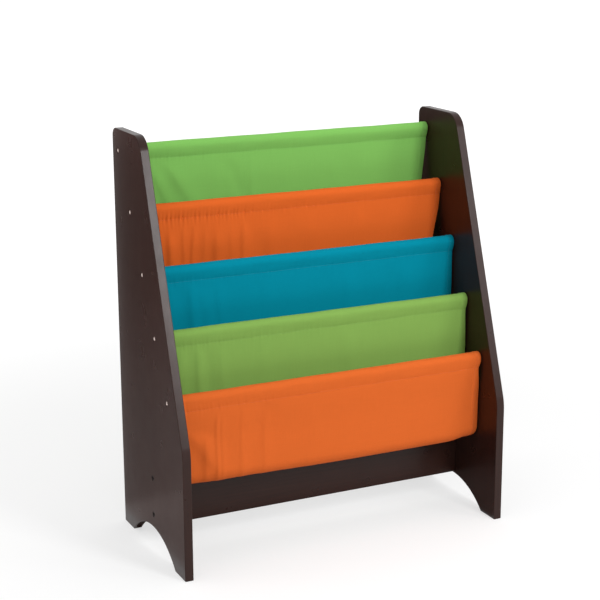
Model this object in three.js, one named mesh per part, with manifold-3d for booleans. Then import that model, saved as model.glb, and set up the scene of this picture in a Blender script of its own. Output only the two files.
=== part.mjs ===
// Sling bookshelf for a child's room: two shaped side panels are held apart by dowel rods and a bottom
// rail, and coloured cloth bands hang from the rods and meet below them to make the book pockets.
// Millimetres. X runs across the shelf, +Y towards its back and +Z up, from the floor at its middle.

import * as THREE from 'three';
import { mergeVertices } from 'three/addons/utils/BufferGeometryUtils.js';
import Module from 'manifold-3d';

const wasm = await Module();
wasm.setup();

// Overall size
const overallWidth = 610;
const overallDepth = 292;
const overallHeight = 711;

// Side panels: upright back edge, slanted front edge, and an arch between two feet
const panelThickness = 15;
const panelTopDepth = 128; // from the back edge to where the slant would meet the top
const kneeHeight = 218; // where the front edge turns from upright to slanted
const kneeRadius = 80;
const topBackRadius = 15;
const topFrontRadius = 35;
const footLength = 45;
const archRise = 42;
const panelEdgeRound = 1.2;

// Bottom rail: a board on edge between the panels
const railThickness = 15;
const railHeight = 105;
const railAboveArch = 4.5;
const railForward = 4; // of the middle of the panels' depth
const railEdgeRound = 2;
const railScrewInset = 19.5; // from the rail's top and bottom edges

// Dowel rods, evenly spaced from the top one to the lowest one
const rodCount = 5;
const rodDiameter = 16;
const rodChamfer = 1;
const topRodDrop = 37;
const topRodBackInset = 26;
const lowestRodHeight = 288;
const lowestRodFrontInset = 65;

// Countersunk furniture screws with a hexagon socket, driven through the panels
const screwLength = 50;
const screwThreadDiameter = 6;
const screwPointLength = 4;
const screwHeadDiameter = 10;
const screwHeadHeight = 3;
const screwHeadRim = 0.5;
const screwHeadRecess = 0.4; // of the head below the panel's face
const screwSocketWidth = 4;
const screwSocketDepth = 2;

// Cloth bands: each is folded over its rod and sewn below it into a sleeve
const clothThickness = 1.2;
const sleeveDrop = 21; // from the rod's axis to the sleeve's seam
const pocketDrop = 157; // from the front rod's axis to the pocket's lowest point
const plySpread = 3; // of each ply of a two-ply band from the rod's middle plane
const plySpreadDrop = 60; // of the seam, over which the two plies part
const foldHeight = 2.5;
const foldReach = 46;
const sideCurl = 4; // backwards, at the cloth's open side edges
const sideCurlReach = 45;
const bottomLift = 6; // of a pocket's bottom at its side edges
const pocketDrawIn = [4, 7, 1, 1]; // of the side edges of each pocket's cloth, from the top

// Places of each band's main folds across the cloth, and their heights, from the top band down
const bandFoldShares = [
  [{ at: 0.07, height: 0.8 }, { at: 0.2, height: -0.9 }, { at: 0.62, height: 0.5 }],
  [{ at: 0.05, height: -0.7 }, { at: 0.17, height: 0.9 }, { at: 0.31, height: -0.9 }, { at: 0.7, height: 0.4 }],
  [{ at: 0.1, height: 0.5 }, { at: 0.45, height: -0.5 }, { at: 0.75, height: 0.6 }],
  [{ at: 0.13, height: -0.5 }, { at: 0.4, height: 0.5 }, { at: 0.72, height: -0.6 }],
  [{ at: 0.06, height: 0.8 }, { at: 0.16, height: -0.9 }, { at: 0.5, height: -0.4 }, { at: 0.74, height: 0.5 }],
];

// Clearances, and how far a cutting shape runs past what it cuts
const jointGap = 0.3; // between pieces that touch on the real shelf
const clothEndGap = 1;
const cutOverrun = 1;

// How finely round shapes and cloth are divided
const roundSteps = 20;
const holeSteps = 14;
const edgeSteps = 2;
const cornerSteps = 6;
const archSteps = 20;
const sleeveSteps = 8;
const wallSteps = 3;
const bendSteps = 4;
const clothSpans = 18;

// Sizes worked out from the ones above
const innerWidth = overallWidth - 2 * panelThickness;
const backY = overallDepth / 2;
const frontY = -overallDepth / 2;
const railLength = innerWidth - 2 * jointGap;
const railBottom = archRise + railAboveArch;
const rodRadius = rodDiameter / 2;
const screwGripLength = screwLength + screwHeadRecess - panelThickness;
const boreRadius = screwThreadDiameter / 2 + jointGap;
const boreDepth = screwGripLength + 2 * jointGap;
const clothWidth = innerWidth - 2 * clothEndGap;
const sleeveInnerRadius = rodRadius + jointGap;
const sleeveOuterRadius = sleeveInnerRadius + clothThickness;

// Materials, one for each mesh
const espresso = { color: 0x3d2c28, roughness: 0.36, metalness: 0 };
const paleWood = { color: 0xc9a679, roughness: 0.7, metalness: 0 };
const blackSteel = { color: 0x2b2a2c, roughness: 0.35, metalness: 0.85 };
const bandColors = [0x77b657, 0xda6127, 0x00829c, 0x80ad52, 0xdf6b2b];
const canvas = { roughness: 0.9, metalness: 0 };

const shelf = new THREE.Group();

function addMesh(name, geometry, finish) {
  const mesh = new THREE.Mesh(geometry, new THREE.MeshStandardMaterial(finish));
  mesh.name = name;
  shelf.add(mesh);
  return mesh;
}

// A closed geometry as a solid that can be joined and cut
function solidOf(geometry) {
  const bare = geometry.clone();
  bare.deleteAttribute('normal');
  bare.deleteAttribute('uv');
  const merged = mergeVertices(bare);
  const corners = merged.index.array;
  const kept = [];
  for (let i = 0; i < corners.length; i += 3) {
    const [a, b, c] = [corners[i], corners[i + 1], corners[i + 2]];
    if (a !== b && b !== c && c !== a) kept.push(a, b, c);
  }
  const vertProperties = new Float32Array(merged.attributes.position.array);
  return new wasm.Manifold(new wasm.Mesh({ numProp: 3, vertProperties, triVerts: new Uint32Array(kept) }));
}

function geometryOf(solid) {
  const mesh = solid.getMesh();
  const geometry = new THREE.BufferGeometry();
  geometry.setAttribute('position', new THREE.BufferAttribute(mesh.vertProperties, mesh.numProp));
  geometry.setIndex(new THREE.BufferAttribute(mesh.triVerts, 1));
  geometry.computeVertexNormals();
  return geometry;
}

function cutAll(geometry, cutters) {
  let solid = solidOf(geometry);
  for (const cutter of cutters) solid = solid.subtract(solidOf(cutter));
  return geometryOf(solid);
}

// Points of a circular arc in a plane, ends included
function arcPoints(centerX, centerY, radius, startAngle, endAngle, steps) {
  const points = [];
  for (let i = 0; i <= steps; i += 1) {
    const angle = startAngle + ((endAngle - startAngle) * i) / steps;
    points.push(new THREE.Vector2(centerX + radius * Math.cos(angle), centerY + radius * Math.sin(angle)));
  }
  return points;
}

// The arc that rounds a corner between the points before and after it
function roundedCorner(before, corner, after, radius, steps) {
  const towardsBefore = before.clone().sub(corner).normalize();
  const towardsAfter = after.clone().sub(corner).normalize();
  const halfAngle = Math.acos(towardsBefore.dot(towardsAfter)) / 2;
  const tangentLength = radius / Math.tan(halfAngle);
  const bisector = towardsBefore.clone().add(towardsAfter).normalize();
  const center = corner.clone().add(bisector.multiplyScalar(radius / Math.sin(halfAngle)));
  const start = corner.clone().add(towardsBefore.multiplyScalar(tangentLength)).sub(center);
  const end = corner.clone().add(towardsAfter.multiplyScalar(tangentLength)).sub(center);
  let turn = end.angle() - start.angle();
  if (turn > Math.PI) turn -= 2 * Math.PI;
  if (turn < -Math.PI) turn += 2 * Math.PI;
  return arcPoints(center.x, center.y, radius, start.angle(), start.angle() + turn, steps);
}

// A board whose outline lies in the Y-Z plane, centred on X, with its long edges rounded over
function boardAlongX(outline, length, edgeRound) {
  const geometry = new THREE.ExtrudeGeometry(new THREE.Shape(outline), {
    depth: length - 2 * edgeRound,
    bevelEnabled: true,
    bevelThickness: edgeRound,
    bevelSize: edgeRound,
    bevelOffset: -edgeRound,
    bevelSegments: edgeSteps,
  });
  geometry.translate(0, 0, edgeRound - length / 2);
  const alongY = new THREE.Vector3(0, 1, 0);
  const alongZ = new THREE.Vector3(0, 0, 1);
  const alongX = new THREE.Vector3(1, 0, 0);
  return geometry.applyMatrix4(new THREE.Matrix4().makeBasis(alongY, alongZ, alongX));
}

// A turned shape whose profile gives its radius and its place along +X
function turnedAlongX(profile, steps) {
  const points = profile.map(([radius, along]) => new THREE.Vector2(radius, along));
  return new THREE.LatheGeometry(points, steps).rotateZ(-Math.PI / 2);
}

// Rods, counted from 0 at the top
const rodPlaces = [];
for (let i = 0; i < rodCount; i += 1) {
  const downShare = i / (rodCount - 1);
  const topY = backY - topRodBackInset;
  const lowestY = frontY + lowestRodFrontInset;
  const topZ = overallHeight - topRodDrop;
  rodPlaces.push({
    y: topY + (lowestY - topY) * downShare,
    z: topZ + (lowestRodHeight - topZ) * downShare,
  });
}

const railPlace = { y: -railForward, z: railBottom + railHeight / 2 };
const railScrewPlaces = [
  { y: railPlace.y, z: railBottom + railHeight - railScrewInset },
  { y: railPlace.y, z: railBottom + railScrewInset },
];

// Screw, from the middle of its head's face at the origin to its point on +X
function screwGeometry() {
  const headRadius = screwHeadDiameter / 2;
  const threadRadius = screwThreadDiameter / 2;
  const body = turnedAlongX([
    [0, 0],
    [headRadius, 0],
    [headRadius, screwHeadRim],
    [threadRadius, screwHeadHeight],
    [threadRadius, screwLength - screwPointLength],
    [0, screwLength],
  ], holeSteps);
  const hexagonSides = 6;
  const socketRadius = screwSocketWidth / 2 / Math.cos(Math.PI / hexagonSides);
  const socketLength = screwSocketDepth + cutOverrun;
  const socket = new THREE.CylinderGeometry(socketRadius, socketRadius, socketLength, hexagonSides);
  socket.rotateZ(-Math.PI / 2).translate(screwSocketDepth - socketLength / 2, 0, 0);
  return cutAll(body, [socket]);
}

// The hole that a screw needs through a panel, from the panel's face at the origin towards +X
function screwHoleGeometry() {
  const headRadius = screwHeadDiameter / 2 + jointGap;
  return turnedAlongX([
    [0, -cutOverrun],
    [headRadius, -cutOverrun],
    [headRadius, screwHeadRecess + screwHeadRim],
    [boreRadius, screwHeadRecess + screwHeadHeight],
    [boreRadius, panelThickness + cutOverrun],
    [0, panelThickness + cutOverrun],
  ], holeSteps);
}

// A geometry that points along +X, set to point inwards from a panel's outer face
function setInwards(geometry, side, place, recess) {
  if (side > 0) geometry.rotateZ(Math.PI);
  return geometry.translate(side * (overallWidth / 2 - recess), place.y, place.z);
}

// Outline of a side panel in the Y-Z plane, from the rear foot round by the back edge to the arch
function panelOutline() {
  const floorBack = new THREE.Vector2(backY, 0);
  const topBack = new THREE.Vector2(backY, overallHeight);
  const topFront = new THREE.Vector2(backY - panelTopDepth, overallHeight);
  const knee = new THREE.Vector2(frontY, kneeHeight);
  const floorFront = new THREE.Vector2(frontY, 0);
  const halfArch = overallDepth / 2 - footLength;
  const archRadius = (halfArch * halfArch + archRise * archRise) / (2 * archRise);
  const archAngle = Math.asin(halfArch / archRadius);
  const upright = Math.PI / 2;
  return [
    floorBack,
    ...roundedCorner(floorBack, topBack, topFront, topBackRadius, cornerSteps),
    ...roundedCorner(topBack, topFront, knee, topFrontRadius, cornerSteps),
    ...roundedCorner(topFront, knee, floorFront, kneeRadius, cornerSteps),
    floorFront,
    ...arcPoints(0, archRise - archRadius, archRadius, upright + archAngle, upright - archAngle, archSteps),
  ];
}

function addSidePanel(name, side) {
  const board = boardAlongX(panelOutline(), panelThickness, panelEdgeRound);
  board.translate(side * (overallWidth - panelThickness) / 2, 0, 0);
  const holes = [...rodPlaces, ...railScrewPlaces].map(
    (place) => setInwards(screwHoleGeometry(), side, place, 0),
  );
  addMesh(name, cutAll(board, holes), espresso);
}

function addBottomRail() {
  const halfThickness = railThickness / 2;
  const outline = [
    new THREE.Vector2(-halfThickness, -railHeight / 2),
    new THREE.Vector2(halfThickness, -railHeight / 2),
    new THREE.Vector2(halfThickness, railHeight / 2),
    new THREE.Vector2(-halfThickness, railHeight / 2),
  ];
  const rounded = outline.flatMap((corner, i) => {
    const before = outline[(i + outline.length - 1) % outline.length];
    const after = outline[(i + 1) % outline.length];
    return roundedCorner(before, corner, after, railEdgeRound, edgeSteps);
  });
  const board = new THREE.ExtrudeGeometry(new THREE.Shape(rounded), { depth: railLength, bevelEnabled: false });
  board.translate(0, 0, -railLength / 2).rotateX(Math.PI / 2).rotateZ(Math.PI / 2);
  board.translate(0, railPlace.y, railPlace.z);
  const bores = [];
  for (const side of [-1, 1]) {
    for (const place of railScrewPlaces) {
      const bore = turnedAlongX([
        [0, -cutOverrun],
        [boreRadius, -cutOverrun],
        [boreRadius, boreDepth],
        [0, boreDepth],
      ], holeSteps);
      bores.push(setInwards(bore, side, place, panelThickness + jointGap));
    }
  }
  addMesh('bottom_rail', cutAll(board, bores), espresso);
}

// A rod with a blind bore in each end for its screw
function addRod(name, place) {
  const half = innerWidth / 2 - jointGap;
  const rod = turnedAlongX([
    [0, -half + boreDepth],
    [boreRadius, -half + boreDepth],
    [boreRadius, -half],
    [rodRadius - rodChamfer, -half],
    [rodRadius, -half + rodChamfer],
    [rodRadius, half - rodChamfer],
    [rodRadius - rodChamfer, half],
    [boreRadius, half],
    [boreRadius, half - boreDepth],
    [0, half - boreDepth],
  ], roundSteps);
  addMesh(name, rod, paleWood).position.set(0, place.y, place.z);
}

function addScrew(name, side, place) {
  addMesh(name, setInwards(screwGeometry(), side, place, screwHeadRecess), blackSteel);
}

// Pockets, counted from 0 at the top: pocket i hangs between rod i behind it and rod i + 1 in front
function plyOffset(band) {
  const isTwoPly = band > 0 && band < rodCount - 1;
  return isTwoPly ? plySpread : 0;
}

function pocketOf(index) {
  const rearWallY = rodPlaces[index].y - plyOffset(index);
  const frontWallY = rodPlaces[index + 1].y + plyOffset(index + 1);
  const radius = (rearWallY - frontWallY) / 2;
  return {
    index,
    radius,
    centerY: (rearWallY + frontWallY) / 2,
    centerZ: rodPlaces[index + 1].z - pocketDrop + radius,
  };
}

// One face of a ply, from below the seam down its wall and round to the middle of the pocket's bottom.
// Side is 1 for the pocket's rear wall and -1 for its front wall. Each point carries how far down it
// hangs (0 at the seam, 1 on the pocket's bend) and how freely it swings in folds.
function plyFace(pocket, side, seamZ, faceOffset) {
  const points = [];
  const partZ = seamZ - plySpreadDrop;
  const radius = pocket.radius + faceOffset;
  const wallY = pocket.centerY + side * radius;
  for (let i = 0; i < wallSteps; i += 1) {
    const z = partZ + ((pocket.centerZ - partZ) * i) / wallSteps;
    const hang = (seamZ - z) / (seamZ - pocket.centerZ);
    points.push({ y: wallY, z, hang, swing: hang, pocket });
  }
  const seamAngle = jointGap / 2 / pocket.radius;
  for (let i = 0; i <= bendSteps; i += 1) {
    const bendShare = i / bendSteps;
    const angle = (Math.PI / 2 - seamAngle) * bendShare;
    points.push({
      y: pocket.centerY + side * radius * Math.cos(angle),
      z: pocket.centerZ - radius * Math.sin(angle),
      hang: 1,
      swing: 1 - bendShare,
      pocket,
    });
  }
  return points;
}

// Closed outline of a band in the Y-Z plane, anticlockwise seen from +X, and of the rod's tunnel in it
function bandProfile(band) {
  const rod = rodPlaces[band];
  const rearPocket = band > 0 ? pocketOf(band - 1) : null;
  const frontPocket = band < rodCount - 1 ? pocketOf(band) : null;
  const plyCount = rearPocket && frontPocket ? 2 : 1;
  const webHalf = (plyCount * clothThickness) / 2;
  const flankAngle = Math.asin(sleeveOuterRadius / sleeveDrop);
  const seamZ = rod.z - sleeveDrop + webHalf / Math.tan(flankAngle);
  const still = { hang: 0, swing: 0, pocket: frontPocket ?? rearPocket };
  const overTop = (radius) => arcPoints(rod.y, rod.z, radius, -flankAngle, Math.PI + flankAngle, sleeveSteps);

  const outline = [{ y: rod.y + webHalf, z: seamZ, ...still }];
  for (const point of overTop(sleeveOuterRadius)) outline.push({ y: point.x, z: point.y, ...still });
  outline.push({ y: rod.y - webHalf, z: seamZ, ...still });
  const halfThickness = clothThickness / 2;
  if (frontPocket) {
    outline.push(...plyFace(frontPocket, 1, seamZ, -halfThickness));
    outline.push(...plyFace(frontPocket, 1, seamZ, halfThickness).reverse());
  }
  if (plyCount === 2) outline.push({ y: rod.y, z: seamZ, ...still });
  if (rearPocket) {
    outline.push(...plyFace(rearPocket, -1, seamZ, halfThickness));
    outline.push(...plyFace(rearPocket, -1, seamZ, -halfThickness).reverse());
  }

  const tunnel = overTop(sleeveInnerRadius).map((point) => ({ y: point.x, z: point.y, ...still }));
  tunnel.push({ y: rod.y, z: rod.z - (sleeveDrop * sleeveInnerRadius) / sleeveOuterRadius, ...still });
  return { outline, tunnel: tunnel.reverse() };
}

function smoothShare(value) {
  const share = Math.min(Math.max(value, 0), 1);
  return share * share * (3 - 2 * share);
}

// Where a profile point of a band lies at a place across the cloth, with its folds and side curl
function hungPoint(point, band, across) {
  let fold = 0;
  for (const { at, height } of bandFoldShares[band]) {
    const distance = (across - (at - 1 / 2) * clothWidth) / foldReach;
    fold += foldHeight * height * Math.exp(-distance * distance);
  }
  const pastCurlStart = Math.abs(across) - (clothWidth / 2 - sideCurlReach);
  const edge = smoothShare(pastCurlStart / sideCurlReach);
  const drawIn = pocketDrawIn[point.pocket.index] * point.hang;
  return new THREE.Vector3(
    across * (1 - (2 * drawIn) / clothWidth),
    point.y + point.swing * (fold + sideCurl * edge),
    point.z + point.hang * bottomLift * edge,
  );
}

function addClothBand(name, band) {
  const { outline, tunnel } = bandProfile(band);
  const ring = [...outline, ...tunnel];
  const positions = [];
  for (let i = 0; i <= clothSpans; i += 1) {
    const across = (i / clothSpans - 1 / 2) * clothWidth;
    for (const point of ring) positions.push(...hungPoint(point, band, across).toArray());
  }
  const triangles = [];
  for (const [first, count] of [[0, outline.length], [outline.length, tunnel.length]]) {
    for (let j = 0; j < count; j += 1) {
      for (let i = 0; i < clothSpans; i += 1) {
        const a = i * ring.length + first + j;
        const b = i * ring.length + first + ((j + 1) % count);
        triangles.push(a, b, b + ring.length, a, b + ring.length, a + ring.length);
      }
    }
  }
  const flat = (points) => points.map((point) => new THREE.Vector2(point.y, point.z));
  const lastRing = clothSpans * ring.length;
  for (const [a, b, c] of THREE.ShapeUtils.triangulateShape(flat(outline), [flat(tunnel)])) {
    triangles.push(c, b, a, lastRing + a, lastRing + b, lastRing + c);
  }
  const geometry = new THREE.BufferGeometry();
  geometry.setAttribute('position', new THREE.Float32BufferAttribute(positions, 3));
  geometry.setIndex(triangles);
  geometry.computeVertexNormals();
  addMesh(name, geometry, { ...canvas, color: bandColors[band] });
}

addSidePanel('side_panel_left', -1);
addSidePanel('side_panel_right', 1);
addBottomRail();
rodPlaces.forEach((place, i) => addRod(`dowel_rod_${i + 1}`, place));
rodPlaces.forEach((place, i) => addClothBand(`sling_band_${i + 1}`, i));
for (const [sideName, side] of [['left', -1], ['right', 1]]) {
  rodPlaces.forEach((place, i) => addScrew(`rod_screw_${sideName}_${i + 1}`, side, place));
  ['upper', 'lower'].forEach((level, i) => addScrew(`rail_screw_${sideName}_${level}`, side, railScrewPlaces[i]));
}

export default shelf;
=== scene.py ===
from math import acos, asin, atan2, ceil, copysign, cos, pi, radians, sin, tan, tau

import bmesh
import bpy
import numpy as np
from mathutils import Matrix, Vector


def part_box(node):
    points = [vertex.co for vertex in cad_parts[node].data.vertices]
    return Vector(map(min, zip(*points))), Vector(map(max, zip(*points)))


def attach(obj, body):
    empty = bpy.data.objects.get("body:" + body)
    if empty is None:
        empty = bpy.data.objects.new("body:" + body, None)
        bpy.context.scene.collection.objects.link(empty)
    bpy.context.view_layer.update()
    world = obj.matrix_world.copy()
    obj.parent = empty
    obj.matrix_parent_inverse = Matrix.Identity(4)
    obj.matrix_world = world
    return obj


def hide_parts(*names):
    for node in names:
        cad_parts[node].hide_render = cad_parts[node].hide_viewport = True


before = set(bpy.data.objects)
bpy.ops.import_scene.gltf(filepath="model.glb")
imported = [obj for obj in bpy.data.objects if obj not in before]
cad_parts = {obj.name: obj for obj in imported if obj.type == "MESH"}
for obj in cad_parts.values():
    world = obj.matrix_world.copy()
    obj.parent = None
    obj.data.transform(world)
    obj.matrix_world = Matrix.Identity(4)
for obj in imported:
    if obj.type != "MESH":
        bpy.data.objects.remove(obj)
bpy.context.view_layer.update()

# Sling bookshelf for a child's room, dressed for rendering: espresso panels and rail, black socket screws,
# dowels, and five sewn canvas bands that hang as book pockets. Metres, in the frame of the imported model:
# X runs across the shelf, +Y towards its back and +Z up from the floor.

# Photograph's camera
CAMERA_AZIMUTH = radians(-25.67)
CAMERA_ELEVATION = radians(14.65)
CAMERA_ROLL = radians(-0.209)
CAMERA_DISTANCE = 2.6683
CAMERA_TARGET = Vector((-0.0249, 0, 0.4105))
CAMERA_LENS = 92.67  # millimetres, on the sensor below
CAMERA_SENSOR = 36

# Studio: softboxes in front, at the right and behind the left panel, a bright ceiling, a white backdrop, a
# floor lit round the shelf with a painted pool of light in its grey, and cards by the left panel and under
# the bands that only reflections show, painted as darker reflections
SOFTBOX_AIM = Vector((0, 0, 0.4))
SOFTBOXES = {  # place, width, height and radiance
    "key_softbox": (Vector((0.54, -1.82, 1.38)), 0.45, 0.85, 18.5),
    "right_softbox": (Vector((1.45, -1.6, 1.2)), 0.5, 0.8, 4),
    "side_softbox": (Vector((-1.75, 0.45, 1.1)), 0.8, 0.8, 2.2),
}
ROOM_RADIANCES = (0.15, 1)  # of the walls and of the ceiling
CEILING_SINES = (0.1, 0.9)  # of the elevations between which the walls' light gives way to the ceiling's
FLOOR_HALF = 30
FLOOR_DROP = 0.0002
FLOOR_REACH = (0.7, 2.2)  # distances from the shelf between which the floor's painted pool of light fades and its seen white gains
FLOOR_GREYS = (0.7, 0.3)  # painted pool of light: the floor's grey near the shelf and far from it, for the light that the floor throws back
FLOOR_LOOK = 0.4  # the floor's grey where it is seen, and the white that its look gains near and far
FLOOR_LOOK_WHITES = (0.6, 0.82)
CARDS = {  # sides in x, profile (y, z) that lies on the floor and bends up, and colours below and above, painted reflections of shade
    "left_reflection_card": (
        (-1.2, -0.325), [(-0.2, 0), (0.22, 0), (0.22, 1.1)], (0.76, 0.65, 0.63, 1), (0.42, 0.26, 0.24, 1),
    ),
    "inner_reflection_card": (
        (-0.3, 0.285), [(-0.13, 0), (0.35, 0), (0.35, 0.7)], (0.42, 0.34, 0.32, 1), (0.3, 0.24, 0.22, 1),
    ),
}
CARD_FADE = (0.1, 0.5)  # heights between which a card's colours pass over, a painted gradient of reflected light, paler near the floor
WHITE = (1, 1, 1, 1)

# Side panels
KNEE_HEIGHT = 0.218
KNEE_RADIUS = 0.08
TOP_DEPTH = 0.128
TOP_BACK_RADIUS = 0.015
TOP_FRONT_RADIUS = 0.035
FOOT_LENGTH = 0.045
ARCH_RISE = 0.042
PANEL_EDGE_ROUND = 0.0012
RAIL_EDGE_ROUND = 0.002
CORNER_STEPS = 16
ARCH_STEPS = 48
EDGE_SEGMENTS = 4

# Screws and their holes
SCREW_LENGTH = 0.05
SCREW_POINT_LENGTH = 0.004
SCREW_THREAD_RADIUS = 0.003
SCREW_HEAD_RADIUS = 0.005
SCREW_HEAD_HEIGHT = 0.003
SCREW_HEAD_RIM = 0.0005
SCREW_HEAD_BREAK = 0.0002  # small rounding of the head's and socket's edges
SCREW_HEAD_RECESS = 0.0004
SOCKET_APOTHEM = 0.002
SOCKET_DEPTH = 0.002
SOCKET_CONE = 0.0006
DISH_RADIUS = 0.0037  # of the hollow in the head round the socket
DISH_DEPTH = 0.0012
CLEARANCE = 0.0003
OVERRUN = 0.001
MERGE_REACH = 0.000002  # within which a cut mesh's doubled points become one
TURNED_STEPS = 48
ROD_CHAMFER = 0.001

# Degrees past which an edge stays sharp, and normals that mark a rounded or slanted face
BOARD_SHARP_ANGLE = 32
ROD_SHARP_ANGLE = 30
SCREW_SHARP_ANGLE = 28
CLOTH_SHARP_ANGLE = 60
SLANTS = (0.3, 0.97)  # share of the normal along X
LARGEST_SHARE = 0.75  # along any axis

# Cloth: thickness, sleeve round the rod, and pockets
CLOTH_THICKNESS = 0.0012
SLEEVE_EASE = 0.0007  # how much wider than the rod the sleeve hangs, all round
SEAM_DROP = 0.0171  # from the rod's axis to the sleeve's seam
FLANK_POWER = 1.5  # how late the sleeve's flanks turn in towards the seam
SEAM_SHIFTS = [-0.0037, -0.005, -0.0045, -0.0058, -0.0072]  # of each band's seam from its rod's axis, in y
POCKET_DROP = 0.157  # from the front rod's axis to the pocket's lowest point
PLY_SPREAD = 0.003
PLY_SPREAD_DROP = 0.06
PLY_SHIFT_SHARE = 0.6  # of the seam's shift that the pocket's walls keep
PLY_GAP = 0.0001
FLAP_LENGTH = 0.009  # of a single-ply band's turned-under edge, below its seam
ALLOWANCE_LENGTH = 0.005  # of the pocket's seam, turned up inside it
ALLOWANCE_RADIUS = 0.0016
SEAM_CLEARANCE = 0.00015
POCKET_DRAW_IN = [0.008, 0.015, 0.0015, 0.0005]
DRAW_IN_HANG = 0.5  # share of a ply's drop over which its sides draw in

# Folds, curls and seams of the hanging cloth
SWELL_HEIGHT = 0.0025
SWELL_REACH = 0.046
SWELL_SHARES = [  # place across and height of each broad swell, for each band from the top
    [(0.07, 0.8), (0.2, -0.9), (0.62, 0.5)],
    [(0.05, -0.7), (0.17, 0.9), (0.31, -0.9), (0.7, 0.4)],
    [(0.1, 0.5), (0.45, -0.5), (0.75, 0.6)],
    [(0.13, -0.5), (0.4, 0.5), (0.72, -0.6)],
    [(0.06, 0.8), (0.16, -0.9), (0.5, -0.4), (0.74, 0.5)],
]
FOLDS = [  # share across, reach, height, slant, and share of the drop where it starts
    [
        (0.11, 0.011, 0.0018, 0.75, 0), (0.06, 0.007, 0.0014, 0.5, 0.02),
        (0.39, 0.005, 0.0006, 0, 0), (0.52, 0.012, 0.0007, -0.15, 0.05),
        (0.8, 0.014, 0.0008, 0.1, 0.03),
    ],
    [
        (0.093, 0.006, 0.0036, -0.22, 0.04), (0.136, 0.004, 0.0014, -0.2, 0),
        (0.172, 0.0035, 0.002, -0.3, 0), (0.208, 0.005, 0.0013, -0.25, 0.02),
        (0.244, 0.0085, 0.004, -0.2, 0.06), (0.286, 0.004, 0.0006, -0.15, 0),
        (0.328, 0.0055, 0.0026, -0.15, 0), (0.415, 0.008, 0.0011, -0.08, 0.02),
        (0.55, 0.012, 0.0009, 0, 0.02), (0.72, 0.01, 0.001, -0.1, 0.03),
    ],
    [
        (0.05, 0.006, 0.0014, 0, -0.05), (0.118, 0.008, 0.002, 0.05, -0.03),
        (0.2, 0.006, 0.0009, 0.1, 0), (0.35, 0.01, 0.0009, 0, 0.03),
        (0.63, 0.012, 0.0009, 0.05, 0.02), (0.83, 0.01, 0.0009, -0.1, 0),
    ],
    [
        (0.045, 0.006, 0.0012, 0, -0.05), (0.096, 0.006, 0.0018, 0.06, -0.04),
        (0.17, 0.006, 0.0009, 0.05, 0), (0.3, 0.009, 0.0008, 0.05, 0.02),
        (0.47, 0.012, 0.0008, 0, 0), (0.88, 0.012, 0.0014, -0.3, 0.02),
    ],
    [
        (0, 0.013, 0.003, 0.45, 0.3), (0.085, 0.006, 0.0018, 0, 0.4),
        (0.118, 0.003, 0.0013, 0, 0.05), (0.135, 0.003, 0.0009, 0, 0.1),
        (0.197, 0.005, 0.0013, 0, 0.05), (0.27, 0.005, 0.001, 0, 0.1),
        (0.42, 0.01, 0.0008, 0, 0.1), (0.7, 0.014, 0.0009, 0.05, 0.2),
    ],
]
FOLD_GROWTH = 0.2  # share of the drop over which a fold grows to its full height
FOLD_REACH_SHARES = (0.7, 1.25)  # of a fold's reach, on its left and on its right
FOLD_OPENING = 0.5  # how much wider a fold is at its full height
SIDE_CURL = 0.002
SIDE_CURL_REACH = 0.053
HEM_CURL = -0.0005
HEM_CURL_REACH = 0.011
NECKS = [0.0005, 0, 0.001, 0.002, 0.0035]  # how much the seam draws each band in, a side
NECK_SLEEVE_REACH = 0.013  # how far above the seam the neck starts, and how far it takes to form
NECK_REACH = 0.018
NECK_HANG = 0.37  # share of a ply's drop over which its neck fades
LEFT_LIFT = 0.0048  # of a pocket's left and right corners, and how far across the left one reaches
LEFT_LIFT_REACH = 0.35
RIGHT_LIFT = 0.006
BOTTOM_TAUTNESS = 0.95  # how flat the folds lie at the pocket's lowest line
CORNER_DRAW_IN = 0.0085
HEM_WIDTH = 0.011
HEM_RISE = 0.0007
HEM_STEP = 0.0012
SEAM_GROOVE = 0.0004
SEAM_GROOVE_REACH = 0.0016
PUCKER_HEIGHT = 0.00032
PUCKER_REACH = 0.0065
PUCKER_PITCH = 0.0115
PUCKER_WAVES = 6
PUCKER_PITCH_GROWTH = 0.37
PUCKER_FADE = 0.4  # how much weaker each further wave is
PUCKER_PASSAGE = 1.4  # half widths over which the left puckers give way to the right ones
PUCKER_SHARES = [(0.3, 0.2), (2.1, 0.6), (0.5, 0.3), (0.5, 0.3), (0.5, 0.3)]  # at each band's left and right
PUCKER_WANDER = 1.9
PUCKER_WANDER_RATE = 17
CREASE_COUNT = 16
CREASE_HEIGHT = 0.0006
CREASE_WIDTHS = (0.007, 0.02)
CREASE_SLANT = 0.25
CREASE_ONSET = 6  # creases set in over a sixth of the drop, folds over a twelfth
FOLD_ONSET = 12
FIRST_SEED = 40
SLEEVE_WAVES = 0.0003  # waviness of the sleeve's cloth round the rod, and its rates across, along and aslant
SLEEVE_WAVE_RATES = (43, 190, 17)

# How finely the cloth is divided
RAW_STEP = 0.0004
RAW_SMOOTHING = 0.0009
SEAM_SMOOTHING = 0.0028
SEAM_SMOOTHING_REACH = 0.014
WALL_STEP = 0.005
CURVE_DENSITY = 3
SEAM_DENSITY = 260
ACROSS_STEP = 0.0025
FOLD_DENSITY = 1.35
CAP_STEPS = 4
HEM_STEPS = 8

# Stitches
STITCH_PITCH = 0.0034
STITCH_LENGTH = 0.0027
THREAD_RADIUS = 0.0003
STITCH_SIDES = 5
STITCH_RINGS = [  # share of a stitch's length, girth, and height over the cloth, in thread radii
    (0, 0, -1.2), (0.12, 0.8, -0.1), (0.5, 1, 0.45), (0.88, 0.8, -0.1), (1, 0, -1.2),
]
HEM_STITCH_INSET = 0.009

# Weave of the canvas
THREAD_PITCH = 0.0006
WEAVE_RELIEF = 0.00012

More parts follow.
